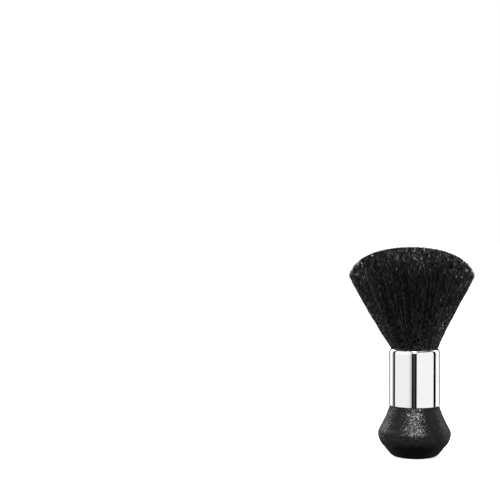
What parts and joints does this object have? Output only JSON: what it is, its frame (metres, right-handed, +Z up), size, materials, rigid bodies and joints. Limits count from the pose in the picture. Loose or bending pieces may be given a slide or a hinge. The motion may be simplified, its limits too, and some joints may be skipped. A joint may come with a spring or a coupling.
{
  "type": "neck duster brush",
  "caption": "Hairdresser's neck duster that stands on its base, with a flared tuft of soft black bristles, a chromed ferrule and a short waisted, weighted black plastic handle.",
  "frame": {"origin": "centre of the foot pad's lower face, at the bottom of the brush, on its axis", "axes": "+Z up the brush's axis, from the base to the bristle tips; +X to the right of a viewer in front, who looks along +Y"},
  "size_m": [0.0892, 0.0892, 0.15],
  "materials": {
    "bristles": "matte",
    "root_resin": "satin",
    "binding_cord": "matte",
    "seat_card": "matte",
    "chrome": "polished",
    "adhesive": "gloss",
    "handle_plastic": "satin",
    "ballast_steel": "satin",
    "zinc_hardware": "satin",
    "foot_rubber": "matte"
  },
  "bodies": {
    "root": {"bristle_tuft": "bristles", "bristle_root_puck": "root_resin", "root_binding_cord": "binding_cord", "seat_disc": "seat_card", "ferrule": "chrome", "ferrule_glue_band": "adhesive", "handle_upper_shell": "handle_plastic", "handle_lower_shell": "handle_plastic", "ballast_weight": "ballast_steel", "ballast_screw": "zinc_hardware", "ballast_washer": "zinc_hardware", "foot_pad": "foot_rubber"}
  },
  "joints": []
}
